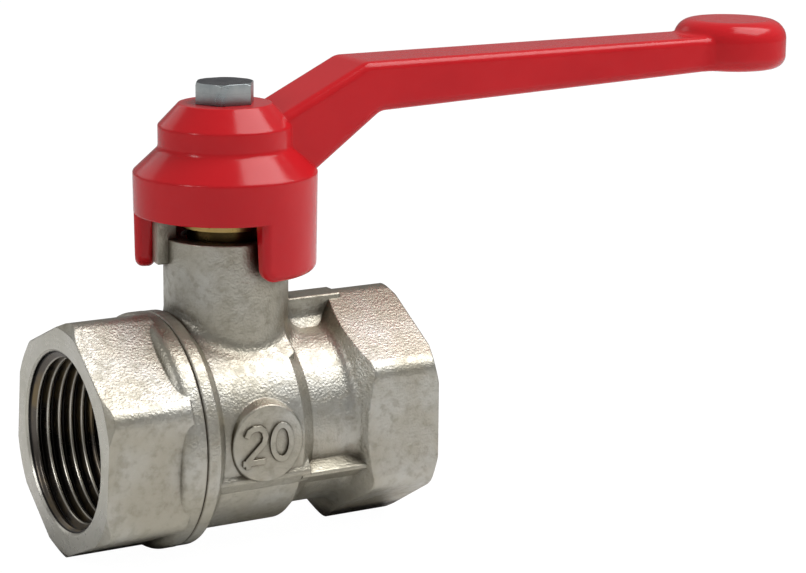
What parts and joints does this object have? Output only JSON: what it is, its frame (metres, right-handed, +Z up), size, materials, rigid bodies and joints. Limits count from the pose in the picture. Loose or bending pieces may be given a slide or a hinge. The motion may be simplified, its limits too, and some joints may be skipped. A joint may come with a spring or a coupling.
{
  "type": "ball valve",
  "caption": "Quarter-turn brass ball valve with female threaded pipe ends, hexagon body and cranked red lever.",
  "frame": {"origin": "centre of the ball, where the pipe axis and the stem axis cross", "axes": "+X along the pipe from inlet to outlet, which is the way the open lever points; +Z up along the stem to the lever"},
  "size_m": [0.1272, 0.0348, 0.0726],
  "materials": {
    "nickel_plated_brass": "satin",
    "bare_brass": "satin",
    "chromed_brass": "polished",
    "ptfe": "matte",
    "nitrile": "matte",
    "red_coated_aluminium": "gloss",
    "zinc_plated_steel": "satin"
  },
  "bodies": {
    "valve_body": {"body": "nickel_plated_brass", "end_connector": "nickel_plated_brass", "body_joint_seal": "ptfe", "inlet_seat": "ptfe", "outlet_seat": "ptfe", "stem_thrust_washer": "ptfe", "packing_ring_lower": "ptfe", "packing_ring_upper": "ptfe", "gland_nut": "bare_brass"},
    "lever": {"lever_handle": "red_coated_aluminium", "handle_bolt": "zinc_plated_steel", "stem": "bare_brass", "stem_o_ring": "nitrile"},
    "ball": {"ball": "chromed_brass"}
  },
  "joints": [
    {"name": "lever_turn", "type": "hinge", "parent": "valve_body", "child": "lever", "pos_m": [0, 0, 0.03], "axis": [0, 0, 1], "range_deg": [-90, 0]},
    {"name": "ball_turn", "type": "hinge", "parent": "valve_body", "child": "ball", "pos_m": [0, 0, 0], "axis": [0, 0, 1], "range_deg": [-90, 0]}
  ],
  "couplings": [
    {"joint": "ball_turn", "follows": "lever_turn", "ratio": 1}
  ]
}
